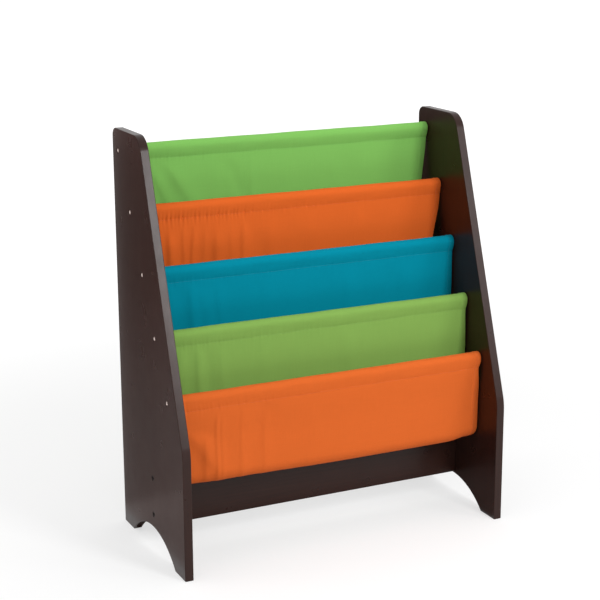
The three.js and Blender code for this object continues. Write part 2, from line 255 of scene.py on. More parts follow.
# Finishes: noise scales per metre, reliefs in metres
PANEL_GRAIN = (260, 260, 7)  # few lines along the grain
RAIL_GRAIN = (7, 260, 260)
DOWEL_GRAIN = (6, 420, 420)
SCRATCH_GRAIN = (300, 2600, 300)
WARP_SLUBS = (900, 22, 1)
WEFT_SLUBS = (22, 900, 1)
PORE_SHARE = 3.5  # how much finer the pores are than the grain
GRAIN_RELIEF = 0.0002
SCRATCH_RELIEF = 0.00005
THREAD_RELIEF = 0.0001
NOISE_LOW = 0.3  # values between which most noise lies
NOISE_HIGH = 0.7
CLOUD_SCALE, GLOSS_SCALE, WEAR_SCALE = 7, 24, 38  # of the lacquer's noises, and how far its wear and painted edge highlight show
WEAR_AND_HIGHLIGHT_SHARE = 0.35
BLOTCH_SCALE, FIBRE_SCALE = 520, 4200  # of the steel's and the thread's noise
PATCH_SCALE, WANDER_SCALE = 9, 260  # of the canvas's noises, and how far its threads wander
WEAVE_WANDER = 1.6
STITCH_SHADE = 0.92
PAPER_ROUGHNESS = 0.9
PAPER_SPECULAR = 0.1

# Colours, linear
ESPRESSO_DARK = (0.020, 0.0068, 0.0047, 1)
ESPRESSO_LIGHT = (0.034, 0.0118, 0.0080, 1)
# Lighter colour of the rounded rims: wear, and a painted highlight of the lacquer's sheen
ESPRESSO_WEAR_AND_HIGHLIGHT = (0.060, 0.032, 0.024, 1)
DOWEL_DARK = (0.46, 0.29, 0.15, 1)
DOWEL_LIGHT = (0.62, 0.42, 0.24, 1)
SCREW_DARK = (0.012, 0.011, 0.011, 1)
SCREW_LIGHT = (0.04, 0.037, 0.036, 1)
# Painted highlight of the rod screws' socket and rim, in bright steel
SCREW_HIGHLIGHT_DARK = (0.38, 0.31, 0.29, 1)
SCREW_HIGHLIGHT_LIGHT = (0.85, 0.75, 0.68, 1)
BAND_COLORS = [
    (0.236, 0.567, 0.122, 1),
    (0.790, 0.140, 0.0225, 1),
    (0.0002, 0.262, 0.371, 1),
    (0.243, 0.437, 0.094, 1),
    (0.760, 0.146, 0.027, 1),
]
BAND_SLOTS = ["cloth_bright_green", "cloth_orange", "cloth_teal", "cloth_leaf_green", "cloth_deep_orange"]


def box_center(node):
    low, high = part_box(node)
    return (low + high) / 2


# Places read from the frame
panel_low, panel_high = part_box("side_panel_left")
PANEL_THICKNESS = panel_high.x - panel_low.x
FRONT_Y = panel_low.y
BACK_Y = panel_high.y
OVERALL_HEIGHT = panel_high.z
HALF_WIDTH = -panel_low.x
rail_low, rail_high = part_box("bottom_rail")
rod_low, rod_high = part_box("dowel_rod_1")
ROD_RADIUS = (rod_high.z - rod_low.z) / 2
ROD_HALF = rod_high.x
RODS = [box_center(f"dowel_rod_{i + 1}") for i in range(len(BAND_COLORS))]
CLOTH_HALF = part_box("sling_band_1")[1].x
BORE_RADIUS = SCREW_THREAD_RADIUS + CLEARANCE
BORE_DEPTH = SCREW_LENGTH + SCREW_HEAD_RECESS - PANEL_THICKNESS + CLEARANCE  # in a rod or the rail
SIDES = {"left": -1, "right": 1}
ROD_SCREWS = [f"rod_screw_{{}}_{i + 1}" for i in range(len(RODS))]
RAIL_SCREWS = ["rail_screw_{}_upper", "rail_screw_{}_lower"]


class Nodes:
    """The shader nodes of a material or a world, made one at a time."""

    def __init__(self, owner):
        owner.use_nodes = True
        self.links = owner.node_tree.links
        self.nodes = owner.node_tree.nodes

    def node(self, kind, inputs=(), **settings):
        node = self.nodes.new("ShaderNode" + kind)
        for key, value in settings.items():
            setattr(node, key, value)
        for socket, value in dict(inputs).items():
            self.feed(node.inputs[socket], value)
        return node

    def feed(self, socket, value):
        if isinstance(value, bpy.types.NodeSocket):
            self.links.new(value, socket)
        else:
            socket.default_value = value

    def math(self, operation, *values):
        return self.node("Math", dict(enumerate(values)), operation=operation).outputs[0]

    def spread(self, value, low=NOISE_LOW, high=NOISE_HIGH, to_low=0, to_high=1, **settings):
        """The value's span between low and high, spread from to_low to to_high."""
        inputs = {"Value": value, "From Min": low, "From Max": high, "To Min": to_low, "To Max": to_high}
        return self.node("MapRange", inputs, **settings).outputs["Result"]

    def faded(self, value, ends, results):
        """A smooth passage from the first result to the second, between two ends."""
        return self.spread(value, *ends, *results, interpolation_type="SMOOTHSTEP")

    def seen_directly(self):
        """1 for the rays that see the backdrop, straight, in a reflection or through something clear."""
        path = self.node("LightPath").outputs
        reflected = self.math("MAXIMUM", path["Is Glossy Ray"], path["Is Transmission Ray"])
        return self.math("MAXIMUM", path["Is Camera Ray"], reflected)


class Shader(Nodes):
    """A material with one Principled shader."""

    def __init__(self, name, roughness, **constants):
        self.material = bpy.data.materials.new(name)
        super().__init__(self.material)
        self.principled = self.nodes["Principled BSDF"]
        for socket, value in {"Roughness": roughness, **constants}.items():
            self.principled.inputs[socket.replace("_", " ")].default_value = value

    def place(self):
        return self.node("TexCoord").outputs["Object"]

    def noise(self, vector, scale, detail=3, roughness=0.5):
        if isinstance(scale, tuple):
            vector = self.node("Mapping", {"Vector": vector, "Scale": scale}).outputs["Vector"]
            scale = 1
        inputs = {"Vector": vector, "Scale": scale, "Detail": detail, "Roughness": roughness}
        return self.node("TexNoise", inputs).outputs["Fac"]

    def mix(self, share, first, second):
        return self.node("Mix", {0: share, 6: first, 7: second}, data_type="RGBA").outputs[2]

    def bump(self, height, strength, distance):
        inputs = {"Height": height, "Strength": strength, "Distance": distance}
        return self.node("Bump", inputs).outputs["Normal"]

    def finish(self, color, **inputs):
        for socket, value in {"Base Color": color, **inputs}.items():
            self.feed(self.principled.inputs[socket], value)
        return self.material


def espresso_wood(name, grain_scale):
    """Dark satin lacquer over close grain that runs where grain_scale is small."""
    shader = Shader(name, roughness=0.3, IOR=1.33)
    place = shader.place()
    grain = shader.noise(place, grain_scale, detail=6, roughness=0.62)
    cloudy = shader.noise(place, CLOUD_SCALE, detail=2)
    pores_scale = tuple(PORE_SHARE * share for share in grain_scale)
    pores = shader.noise(place, pores_scale, detail=2)
    share = shader.math("ADD", shader.spread(grain, to_high=0.7), shader.spread(cloudy, to_high=0.3))
    wood = shader.mix(share, ESPRESSO_DARK, ESPRESSO_LIGHT)
    # Rounded rims get a lighter colour: partly real wear, partly a painted highlight of the lacquer's sheen
    rounding = shader.node("Attribute", attribute_name="rounding").outputs["Fac"]
    rubbed = shader.spread(shader.noise(place, WEAR_SCALE, detail=4), 0.47, 0.68)
    wear_and_highlight = shader.math("MULTIPLY", shader.math("MULTIPLY", rounding, rubbed), WEAR_AND_HIGHLIGHT_SHARE)
    relief = shader.math("ADD", shader.math("MULTIPLY", grain, 0.6), shader.math("MULTIPLY", pores, 0.4))
    uneven = shader.spread(shader.noise(place, GLOSS_SCALE), to_low=0.27, to_high=0.33)
    color = shader.mix(wear_and_highlight, wood, ESPRESSO_WEAR_AND_HIGHLIGHT)
    return shader.finish(color, Normal=shader.bump(relief, 0.12, GRAIN_RELIEF), Roughness=uneven)


def dowel_wood():
    shader = Shader("dowel_wood", roughness=0.62)
    grain = shader.noise(shader.place(), DOWEL_GRAIN, detail=5, roughness=0.6)
    color = shader.mix(shader.spread(grain), DOWEL_DARK, DOWEL_LIGHT)
    return shader.finish(color, Normal=shader.bump(grain, 0.2, GRAIN_RELIEF))


def screw_steel():
    """Blackened steel, with a painted highlight in bright steel on the faces where the mesh is marked."""
    shader = Shader("screw_steel", roughness=0.38, Metallic=0.9)
    place = shader.place()
    blotches = shader.noise(place, BLOTCH_SCALE, detail=4)
    scratches = shader.noise(place, SCRATCH_GRAIN, detail=2)
    # The marked faces take bright steel: a painted highlight
    wear_and_highlight = shader.node("Attribute", attribute_name="rounding").outputs["Fac"]
    share = shader.spread(blotches, low=0.35)
    black = shader.mix(share, SCREW_DARK, SCREW_LIGHT)
    color = shader.mix(wear_and_highlight, black, shader.mix(share, SCREW_HIGHLIGHT_DARK, SCREW_HIGHLIGHT_LIGHT))
    roughness = shader.spread(blotches, to_low=0.3, to_high=0.48)
    return shader.finish(color, Normal=shader.bump(scratches, 0.15, SCRATCH_RELIEF), Roughness=roughness)


def shade_of(color, share):
    return (*(value * share for value in color[:3]), 1)


def canvas(name, color):
    """Plain woven canvas, drawn on the cloth's own length and width, in metres."""
    shader = Shader(name, roughness=0.9, Sheen_Weight=0.02, Sheen_Roughness=0.45, Specular_IOR_Level=0.05)
    place = shader.node("UVMap", uv_map="cloth").outputs["UV"]
    wander = shader.noise(place, WANDER_SCALE, detail=2)
    axes = shader.node("SeparateXYZ", {"Vector": place})
    turns = tau / (2 * THREAD_PITCH)
    moved = shader.math("MULTIPLY", wander, WEAVE_WANDER)
    waves = []
    for axis in ("X", "Y"):
        angle = shader.math("MULTIPLY_ADD", axes.outputs[axis], turns, moved)
        waves.append(shader.math("SINE", angle))
    weave = shader.spread(shader.math("MULTIPLY", *waves), -1, 1)
    slubs = shader.math("ADD", shader.noise(place, WARP_SLUBS), shader.noise(place, WEFT_SLUBS))
    slubs = shader.math("MULTIPLY", slubs, 0.5)
    patches = shader.noise(place, PATCH_SCALE)
    threads = shader.mix(weave, shade_of(color, 0.9), shade_of(color, 1.06))
    streaked = shader.mix(shader.spread(slubs, 0.38, 0.62), shade_of(color, 0.94), threads)
    faded = shader.mix(shader.spread(patches, high=0.72, to_high=0.16), streaked, shade_of(color, 0.88))
    relief = shader.math("ADD", shader.math("MULTIPLY", weave, 0.75), shader.math("MULTIPLY", slubs, 0.5))
    return shader.finish(faded, Normal=shader.bump(relief, 0.5, WEAVE_RELIEF))


def sewing_thread(name, color):
    shader = Shader(name, roughness=0.6, Sheen_Weight=0.15, Specular_IOR_Level=0.4)
    fibres = shader.noise(shader.place(), FIBRE_SCALE, detail=2)
    shades = shader.mix(shader.spread(fibres), shade_of(color, 0.8), shade_of(color, 1.1))
    return shader.finish(shades, Normal=shader.bump(fibres, 0.4, THREAD_RELIEF))


def new_mesh(name, verts, faces):
    mesh = bpy.data.meshes.new(name)
    mesh.from_pydata(verts, [], faces)
    return mesh


def add_object(name, data):
    made = bpy.data.objects.new(name, data)
    bpy.context.scene.collection.objects.link(made)
    return made


def add_piece(name, mesh, material, slot, *nodes):
    piece = add_object(name, mesh)
    mesh.materials.append(material)
    if nodes:
        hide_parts(*nodes)
    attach(piece, "root")
    return piece


def arc_points(center, radius, start, end, steps):
    angles = np.linspace(start, end, steps + 1)
    return [center + radius * Vector((cos(angle), sin(angle))) for angle in angles]


def rounded_corner(before, corner, after, radius, steps):
    """The arc that rounds a corner between the points before and after it."""
    towards_before = (before - corner).normalized()
    towards_after = (after - corner).normalized()
    half_angle = towards_before.angle(towards_after) / 2
    tangent = radius / tan(half_angle)
    center = corner + (towards_before + towards_after).normalized() * (radius / sin(half_angle))
    start = corner + towards_before * tangent - center
    end = corner + towards_after * tangent - center
    start_angle = atan2(start.y, start.x)
    turn = (atan2(end.y, end.x) - start_angle + pi) % tau - pi
    return arc_points(center, radius, start_angle, start_angle + turn, steps)


def panel_outline():
    """Outline of a side panel as (y, z), from the rear foot by the back edge to the arch."""
    floor_back = Vector((BACK_Y, 0))
    top_back = Vector((BACK_Y, OVERALL_HEIGHT))
    top_front = Vector((BACK_Y - TOP_DEPTH, OVERALL_HEIGHT))
    knee = Vector((FRONT_Y, KNEE_HEIGHT))
    floor_front = Vector((FRONT_Y, 0))
    half_arch = (BACK_Y - FRONT_Y) / 2 - FOOT_LENGTH
    arch_radius = (half_arch ** 2 + ARCH_RISE ** 2) / (2 * ARCH_RISE)
    arch_angle = asin(half_arch / arch_radius)
    arch_center = Vector((0, ARCH_RISE - arch_radius))
    upright = pi / 2
    return [
        floor_back,
        *rounded_corner(floor_back, top_back, top_front, TOP_BACK_RADIUS, CORNER_STEPS),
        *rounded_corner(top_back, top_front, knee, TOP_FRONT_RADIUS, CORNER_STEPS),
        *rounded_corner(top_front, knee, floor_front, KNEE_RADIUS, CORNER_STEPS),
        floor_front,
        *arc_points(arch_center, arch_radius, upright + arch_angle, upright - arch_angle, ARCH_STEPS),
    ]


def rail_outline():
    low, high = rail_low.yz, rail_high.yz
    corners = [low, Vector((high.x, low.y)), high, Vector((low.x, high.y))]
    outline = []
    for before, corner, after in zip(corners[-1:] + corners, corners, corners[1:] + corners):
        outline += rounded_corner(before, corner, after, RAIL_EDGE_ROUND, EDGE_SEGMENTS)
    return outline


def board_mesh(outline, low_x, high_x, edge_round):
    """A board with the outline (y, z), its two flat faces square to X and their rims rounded over."""
    bm = bmesh.new()
    face = bm.faces.new([bm.verts.new((low_x, y, z)) for y, z in outline])
    grown = bmesh.ops.extrude_face_region(bm, geom=[face])["geom"]
    moved = [part for part in grown if isinstance(part, bmesh.types.BMVert)]
    bmesh.ops.translate(bm, verts=moved, vec=(high_x - low_x, 0, 0))
    bmesh.ops.recalc_face_normals(bm, faces=bm.faces)
    flat_faces = {f for f in bm.faces if abs(f.normal.x) > 0.5}
    if edge_round > 0:
        rims = [e for e in bm.edges if len(flat_faces.intersection(e.link_faces)) == 1]
        bmesh.ops.bevel(bm, geom=rims, offset=edge_round, segments=EDGE_SEGMENTS, profile=0.5, affect="EDGES")
    mesh = bpy.data.meshes.new("board")
    bm.to_mesh(mesh)
    bm.free()
    return mesh


def turned_mesh(profile, steps=TURNED_STEPS):
    """A closed shape turned about X. The profile gives (along, radius) or (along, radius, "hexagon")."""
    verts, faces, rings = [], [], []
    for along, radius, *form in profile:
        if radius == 0:
            rings.append([len(verts)] * steps)
            verts.append((along, 0, 0))
            continue
        rings.append(list(range(len(verts), len(verts) + steps)))
        for k in range(steps):
            angle = tau * k / steps
            reach = radius
            if form:
                past_flat = (angle + pi / 6) % (pi / 3) - pi / 6
                reach = radius / cos(past_flat)
            verts.append((along, reach * cos(angle), reach * sin(angle)))
    for first, second in zip(rings, rings[1:]):
        for k in range(steps):
            corners = [first[k], first[(k + 1) % steps], second[(k + 1) % steps], second[k]]
            faces.append(list(dict.fromkeys(corners)))
    return new_mesh("turned", verts, faces)


def set_inwards(mesh, side, place, recess):
    """Sets a mesh that points along +X to point inwards from a side panel's outer face."""
    turn = Matrix.Rotation(pi if side > 0 else 0, 4, "Z")
    mesh.transform(Matrix.Translation((side * (HALF_WIDTH - recess), place.y, place.z)) @ turn)
    return mesh


def shade_smooth(mesh, degrees):
    mesh.polygons.foreach_set("use_smooth", [True] * len(mesh.polygons))
    mesh.set_sharp_from_angle(angle=radians(degrees))


def bored(mesh, cutters):
    """The mesh with the cutters' shapes taken out of it."""
    body = add_object("bored", mesh)
    tools = [add_object("cutter", cutter) for cutter in cutters]
    for tool in tools:
        cut = body.modifiers.new("bore", "BOOLEAN")
        cut.operation = "DIFFERENCE"
        cut.solver = "EXACT"
        cut.object = tool
    graph = bpy.context.evaluated_depsgraph_get()
    result = bpy.data.meshes.new_from_object(body.evaluated_get(graph))
    for spare in [body, *tools]:
        bpy.data.objects.remove(spare)
    bm = bmesh.new()
    bm.from_mesh(result)
    bmesh.ops.remove_doubles(bm, verts=bm.verts, dist=MERGE_REACH)
    bm.to_mesh(result)
    bm.free()
    return result


def mark_rounding(mesh):
    """Marks the slanted faces, where the wood shows wear with a painted edge highlight and the rod screws a
    painted highlight.
    """
    marks = mesh.attributes.new("rounding", "FLOAT", "FACE")
    for face in mesh.polygons:
        largest = max(abs(value) for value in face.normal)
        is_slanted = SLANTS[0] < abs(face.normal.x) < SLANTS[1] or largest < LARGEST_SHARE
        marks.data[face.index].value = 1 if is_slanted else 0


def finish_board(name, mesh, material, node):
    mark_rounding(mesh)
    shade_smooth(mesh, BOARD_SHARP_ANGLE)
    piece = add_piece(name, mesh, material, "espresso_wood", node)
    weighted = piece.modifiers.new("flat faces stay flat", "WEIGHTED_NORMAL")
    weighted.keep_sharp = True
    weighted.weight = 100


def screw_hole():
    head = SCREW_HEAD_RADIUS + CLEARANCE
    return turned_mesh([
        (-OVERRUN, 0),
        (-OVERRUN, head),
        (SCREW_HEAD_RECESS + SCREW_HEAD_RIM, head),
        (SCREW_HEAD_RECESS + SCREW_HEAD_HEIGHT, BORE_RADIUS),
        (PANEL_THICKNESS + OVERRUN, BORE_RADIUS),
        (PANEL_THICKNESS + OVERRUN, 0),
    ])


def pilot_bore():
    return turned_mesh([(-OVERRUN, 0), (-OVERRUN, BORE_RADIUS), (BORE_DEPTH, BORE_RADIUS), (BORE_DEPTH, 0)])


def add_side_panel(side_name, side, wood):
    low_x = -HALF_WIDTH if side < 0 else HALF_WIDTH - PANEL_THICKNESS
    mesh = board_mesh(panel_outline(), low_x, low_x + PANEL_THICKNESS, PANEL_EDGE_ROUND)
    names = [name.format(side_name) for name in ROD_SCREWS + RAIL_SCREWS]
    holes = [set_inwards(screw_hole(), side, box_center(name), 0) for name in names]
    finish_board(f"panel_{side_name}", bored(mesh, holes), wood, f"side_panel_{side_name}")


def add_rail(wood):
    mesh = board_mesh(rail_outline(), rail_low.x, rail_high.x, 0)
    bores = []
    for side_name, side in SIDES.items():
        for name in RAIL_SCREWS:
            place = box_center(name.format(side_name))
            bores.append(set_inwards(pilot_bore(), side, place, HALF_WIDTH - rail_high.x))
    finish_board("rail_board", bored(mesh, bores), wood, "bottom_rail")


def add_rods(wood):
    half_profile = [
        (ROD_HALF - BORE_DEPTH, 0),
        (ROD_HALF - BORE_DEPTH, BORE_RADIUS),
        (ROD_HALF, BORE_RADIUS),
        (ROD_HALF, ROD_RADIUS - ROD_CHAMFER),
        (ROD_HALF - ROD_CHAMFER, ROD_RADIUS),
    ]
    profile = [(-along, radius) for along, radius in half_profile] + half_profile[::-1]
    for i, rod in enumerate(RODS):
        mesh = turned_mesh(profile)
        mesh.transform(Matrix.Translation((0, rod.y, rod.z)))
        shade_smooth(mesh, ROD_SHARP_ANGLE)
        add_piece(f"dowel_{i + 1}", mesh, wood, "dowel_wood", f"dowel_rod_{i + 1}")


def screw_mesh():
    """Countersunk screw with a hexagon socket, from its head's face at the origin to its point on +X."""
    return turned_mesh([
        (SOCKET_DEPTH + SOCKET_CONE, 0),
        (SOCKET_DEPTH, SOCKET_APOTHEM, "hexagon"),
        (DISH_DEPTH + SCREW_HEAD_BREAK, SOCKET_APOTHEM, "hexagon"),
        (DISH_DEPTH, SOCKET_APOTHEM + SCREW_HEAD_BREAK, "hexagon"),
        (0, DISH_RADIUS),
        (0, SCREW_HEAD_RADIUS - SCREW_HEAD_BREAK),
        (SCREW_HEAD_BREAK, SCREW_HEAD_RADIUS),
        (SCREW_HEAD_RIM, SCREW_HEAD_RADIUS),
        (SCREW_HEAD_HEIGHT, SCREW_THREAD_RADIUS),
        (SCREW_LENGTH - SCREW_POINT_LENGTH, SCREW_THREAD_RADIUS),
        (SCREW_LENGTH, 0),
    ])


def add_screws(steel):
    for side_name, side in SIDES.items():
        for pattern in ROD_SCREWS + RAIL_SCREWS:
            node = pattern.format(side_name)
            mesh = set_inwards(screw_mesh(), side, box_center(node), SCREW_HEAD_RECESS)
            # Only the rod screws are marked, so only they show the painted highlight
            if pattern in ROD_SCREWS:
                mark_rounding(mesh)
            shade_smooth(mesh, SCREW_SHARP_ANGLE)
            add_piece(f"socket_{node}", mesh, steel, "screw_steel", node)


def smooth_share(value):
    share = np.clip(value, 0, 1)
    return share * share * (3 - 2 * share)


def hem_rise(x):
    """How much thicker the cloth is at its side hems."""
    return HEM_RISE * smooth_share((np.abs(x) - CLOTH_HALF + HEM_WIDTH + HEM_STEP) / HEM_STEP)


def ply_offset(band):
    return PLY_SPREAD if 0 < band < len(RODS) - 1 else 0


class Pocket:
    """Pocket between a rod behind it and the next rod in front, counted from 0 at the top."""

    def __init__(self, index):
        rear_y = RODS[index].y - ply_offset(index) + PLY_SHIFT_SHARE * SEAM_SHIFTS[index]
        front_y = RODS[index + 1].y + ply_offset(index + 1) + PLY_SHIFT_SHARE * SEAM_SHIFTS[index + 1]
        self.radius = (rear_y - front_y) / 2
        self.center_y = (rear_y + front_y) / 2
        self.center_z = RODS[index + 1].z - POCKET_DROP + self.radius
        self.draw_in = POCKET_DRAW_IN[index]


def marked_rows(*columns):
    """Rows (y, z, hang, swing, bend, draw in) of the cloth's path, from columns or single values."""
    return np.column_stack(np.broadcast_arrays(*columns))


def upright_rows(y, low, high, *marks):
    heights = np.linspace(low, high, ceil((high - low) / RAW_STEP), endpoint=False)
    return marked_rows(y, heights, *marks)


def ply_rows(pocket, side, seam_y, seam_z):
    """A ply from its sleeve's seam down to the pocket's seam. Side is 1 at the pocket's rear wall."""
    side_y = pocket.center_y + side * pocket.radius
    drop = seam_z - pocket.center_z
    down = np.arange(0, drop, RAW_STEP)
    hang = down / drop
    wall_y = seam_y + (side_y - seam_y) * smooth_share(down / PLY_SPREAD_DROP)
    wall = marked_rows(wall_y, seam_z - down, hang, hang, 0, pocket.draw_in)
    turn = ALLOWANCE_RADIUS
    end_y = pocket.center_y + side * (CLOTH_THICKNESS / 2 + SEAM_CLEARANCE)
    last_angle = acos(abs(end_y + side * turn - pocket.center_y) / (pocket.radius + turn))
    angles = np.linspace(0, last_angle, ceil(pocket.radius * last_angle / RAW_STEP))
    bend = angles / last_angle
    bottom_y = pocket.center_y + side * pocket.radius * np.cos(angles)
    bottom_z = pocket.center_z - pocket.radius * np.sin(angles)
    bottom = marked_rows(bottom_y, bottom_z, 1, 1 - bend, bend, pocket.draw_in)
    sine = sin(last_angle)
    low = pocket.center_z - pocket.radius * sine
    high = pocket.center_z - (pocket.radius + turn) * sine + turn + ALLOWANCE_LENGTH
    inside = upright_rows(end_y, low, high, 1, 0, 1, pocket.draw_in)
    return np.vstack([wall, bottom, inside])


def smoothed(places, reach):
    """Places a RAW_STEP apart along a line, smoothed over the reach, with the line's ends kept."""
    count = ceil(3 * reach / RAW_STEP)
    weights = np.exp(-0.5 * (np.arange(-count, count + 1) * RAW_STEP / reach) ** 2)
    weights /= weights.sum()
    columns = []
    for line in places.T:
        before = 2 * line[0] - line[count:0:-1]
        after = 2 * line[-1] - line[-2:-count - 2:-1]
        columns.append(np.convolve(np.concatenate([before, line, after]), weights, "valid"))
    return np.column_stack(columns)


def lengths(rows):
    """Length along a path up to each of its rows."""
    return np.append(0, np.cumsum(np.hypot(*np.diff(rows[:, :2], axis=0).T)))


def spaced(places, density):
    """Places along a line, closer together where the density is high."""
    count = np.append(0, np.cumsum((density[1:] + density[:-1]) / 2 * np.diff(places)))
    return np.interp(np.linspace(0, count[-1], ceil(count[-1])), count, places)


class ClothBand:
    """One strip of cloth: its path round the rod as seen from the side, and its folds across the shelf."""

    def __init__(self, index):
        self.index = index
        self.rod = RODS[index]
        last = len(RODS) - 1
        is_two_ply = 0 < index < last
        ply_pitch = CLOTH_THICKNESS + PLY_GAP
        front_y = self.rod.y + SEAM_SHIFTS[index] - (ply_pitch / 2 if is_two_ply else 0)
        rear_y = front_y + ply_pitch
        seam_z = self.rod.z - SEAM_DROP
        if is_two_ply:
            behind = ply_rows(Pocket(index - 1), -1, rear_y, seam_z)[::-1]
        else:
            behind = upright_rows(rear_y, seam_z - FLAP_LENGTH, seam_z, 0, 0, 0, 0)
        pocket, side = (Pocket(index), 1) if index < last else (Pocket(index - 1), -1)
        ahead = ply_rows(pocket, side, front_y, seam_z)
        rows = np.vstack([behind, self.sleeve_rows(rear_y, front_y), ahead])
        self.set_path(rows, (front_y, seam_z))
        self.seams = [self.length_to(rear_y, seam_z), self.length_to(front_y, seam_z)]
        self.set_creases()

    def sleeve_rows(self, rear_y, front_y):
        """The sleeve: half a circle over the rod, and flanks that fall and turn in to the seam."""
        least = ROD_RADIUS + CLEARANCE + CLOTH_THICKNESS / 2
        radius = least + SLEEVE_EASE
        down = np.arange(0, SEAM_DROP, RAW_STEP)
        turned_in = (down / SEAM_DROP) ** FLANK_POWER
        rear = np.column_stack([radius + (rear_y - self.rod.y - radius) * turned_in, -down])[:0:-1]
        front = np.column_stack([-radius + (front_y - self.rod.y + radius) * turned_in, -down])[1:]
        angles = np.arange(0, pi, RAW_STEP / radius)
        over_top = radius * np.column_stack([np.cos(angles), np.sin(angles)])
        outline = np.vstack([rear, over_top, front])
        outline *= np.maximum(1, least / np.linalg.norm(outline, axis=1))[:, None]
        rows = np.zeros((len(outline), 6))
        rows[:, :2] = outline + (self.rod.y, self.rod.z)
        return rows

    def set_path(self, rows, front_seam):
        """Smooths the raw path, most of all at the front seam, and keeps its rows by the length along it."""
        rows = rows[np.append(True, np.diff(lengths(rows)) > RAW_STEP / 10)]
        length = lengths(rows)
        even = np.linspace(0, length[-1], ceil(length[-1] / RAW_STEP))
        rows = np.column_stack([np.interp(even, length, column) for column in rows.T])
        from_seam = np.hypot(*(rows[:, :2] - front_seam).T)
        seam = even[np.argmin(from_seam)]
        soft_share = smooth_share(1.5 * (1 - np.abs(even - seam) / SEAM_SMOOTHING_REACH))[:, None]
        firm = smoothed(rows[:, :2], RAW_SMOOTHING)
        rows[:, :2] = firm + (smoothed(rows[:, :2], SEAM_SMOOTHING) - firm) * soft_share
        self.along = lengths(rows)
        self.length = self.along[-1]
        heading = np.gradient(rows[:, :2], self.along, axis=0)
        outward = np.column_stack([heading[:, 1], -heading[:, 0]])
        outward /= np.linalg.norm(outward, axis=1)[:, None]
        self.rows = np.column_stack([rows, outward])
        self.curving = np.linalg.norm(np.gradient(heading, self.along, axis=0), axis=1)

    def length_to(self, y, z):
        return self.along[np.argmin(np.hypot(self.rows[:, 0] - y, self.rows[:, 1] - z))]

    def set_creases(self):
        """Chooses this band's small creases, always the same ones."""
        draw = np.random.default_rng(FIRST_SEED + self.index)
        self.creases = []
        for _ in range(CREASE_COUNT):
            at = draw.uniform(-CLOTH_HALF, CLOTH_HALF)
            height = draw.normal(0, CREASE_HEIGHT)
            width = draw.uniform(*CREASE_WIDTHS)
            slant = draw.normal(0, CREASE_SLANT)
            self.creases.append((at, height, width, slant))
        self.pucker_turns = draw.uniform(0, tau, PUCKER_WAVES)

    def puckers(self, x):
        """Small uneven waves that the stitches of a seam pull into the cloth."""
        wave = 0
        for i, turn in enumerate(self.pucker_turns):
            pitch = PUCKER_PITCH * (1 + PUCKER_PITCH_GROWTH * (i - 1))
            wander = PUCKER_WANDER * np.sin(x * PUCKER_WANDER_RATE * (i + 1) + 2 * turn)
            wave = wave + np.sin(tau * x / pitch + turn + wander) / (1 + PUCKER_FADE * i)
        left, right = PUCKER_SHARES[self.index]
        return wave * (left + (right - left) * smooth_share((x / CLOTH_HALF + 1) / PUCKER_PASSAGE))

    def relief(self, x, along, hang):
        """How far the cloth stands out from its smooth shape."""
        below = np.min([np.abs(along - seam) for seam in self.seams], axis=0)
        height = PUCKER_HEIGHT * np.exp(-below / PUCKER_REACH) * self.puckers(x)
        height = height - SEAM_GROOVE * np.exp(-((below / SEAM_GROOVE_REACH) ** 2))
        shown = smooth_share(hang * CREASE_ONSET) * (1 - 0.5 * hang)
        for at, crease_height, width, slant in self.creases:
            past = (x - at - slant * hang * POCKET_DROP) / width
            height = height + crease_height * np.exp(-past * past) * shown
        shown = smooth_share(hang * FOLD_ONSET)
        left_share, right_share = FOLD_REACH_SHARES
        for share, reach, fold_height, slant, start in FOLDS[self.index]:
            grown = smooth_share((hang - start) / FOLD_GROWTH) * shown
            past = x - (share - 0.5) * 2 * CLOTH_HALF - slant * hang * POCKET_DROP
            past = past / (reach * np.where(past < 0, left_share, right_share) * (1 + FOLD_OPENING * grown))
            height = height + fold_height * grown * np.exp(-past * past)
        loose = (along > self.seams[0]) & (along < self.seams[1])
        across_rate, along_rate, slant_rate = SLEEVE_WAVE_RATES
        waves = np.sin(x * across_rate + self.index) * np.sin(along * along_rate + x * slant_rate)
        return height + SLEEVE_WAVES * waves * loose

    def place(self, x, along):
        """Middle of the cloth's thickness at places across it and along it."""
        row = (np.interp(along, self.along, column) for column in self.rows.T)
        y, z, hang, swing, bend, draw_in, out_y, out_z = row
        swell = 0
        for at, height in SWELL_SHARES[self.index]:
            past = (x - (at - 0.5) * 2 * CLOTH_HALF) / SWELL_REACH
            swell = swell + SWELL_HEIGHT * height * np.exp(-past * past)
        edge = smooth_share((np.abs(x) - CLOTH_HALF + SIDE_CURL_REACH) / SIDE_CURL_REACH)
        hem_edge = np.clip((np.abs(x) - CLOTH_HALF + HEM_CURL_REACH) / HEM_CURL_REACH, 0, 1) ** 2
        curl = SIDE_CURL * edge + HEM_CURL * hem_edge
        below = np.maximum(self.seams[0] - along, along - self.seams[1])
        neck = NECKS[self.index] * smooth_share((below + NECK_SLEEVE_REACH) / NECK_REACH)
        neck = neck * (1 - smooth_share(hang / NECK_HANG))
        narrowing = neck + draw_in * smooth_share(hang / DRAW_IN_HANG) + CORNER_DRAW_IN * bend ** 2
        left_lift = LEFT_LIFT * smooth_share((LEFT_LIFT_REACH - CLOTH_HALF - x) / LEFT_LIFT_REACH)
        lift = hang * (left_lift + RIGHT_LIFT * edge * (x > 0))
        relief = self.relief(x, along, hang) * (1 - BOTTOM_TAUTNESS * bend)
        return np.stack([
            x * (1 - narrowing / CLOTH_HALF),
            y + swing * (swell + curl) + out_y * relief,
            z + lift + out_z * relief,
        ], axis=-1)

